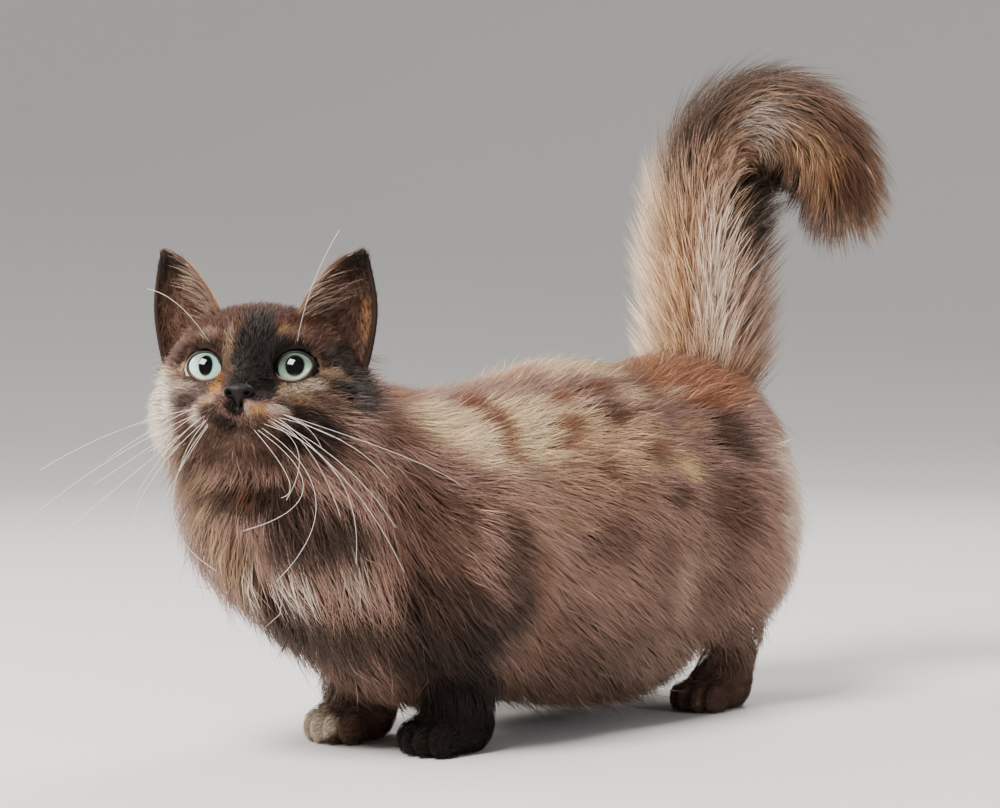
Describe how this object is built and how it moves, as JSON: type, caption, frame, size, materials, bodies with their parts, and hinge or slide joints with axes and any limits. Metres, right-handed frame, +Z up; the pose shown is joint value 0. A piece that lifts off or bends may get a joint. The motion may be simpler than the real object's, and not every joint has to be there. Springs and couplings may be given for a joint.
{
  "type": "munchkin cat",
  "caption": "Short-legged cat with a half-long coat, standing with its tail up and its head raised, life-size and still.",
  "frame": {"origin": "on the floor, under the middle of the cat's bounding box", "axes": "-Y is the way the body faces, +X its left and +Z up"},
  "size_m": [0.1916, 0.4624, 0.3403],
  "materials": {
    "fur": "warm brown, cream and rust fur with grey-brown patches",
    "tail_fur": "cream fur at the root, with dark and ginger bands towards the tip",
    "dark_fur": "near-black brown short fur",
    "eye": "wet, pale aqua-green iris and an upright oval pupil",
    "nose_leather": "black, slightly moist",
    "whisker": "stiff white hairs, glossy"
  },
  "bodies": {
    "root": {"ear_left": "dark_fur", "ear_right": "dark_fur", "eye_left": "eye", "eye_right": "eye", "head": "fur", "leg_front_left": "fur", "leg_front_right": "fur", "leg_hind_left": "fur", "leg_hind_right": "fur", "neck": "fur", "nose": "nose_leather", "paw_front_left": "dark_fur", "paw_front_right": "dark_fur", "paw_hind_left": "dark_fur", "paw_hind_right": "dark_fur", "tail_base": "tail_fur", "tail_bend": "tail_fur", "tail_middle": "tail_fur", "tail_tip": "tail_fur", "torso": "fur", "whiskers_left": "whisker", "whiskers_right": "whisker"}
  },
  "joints": []
}
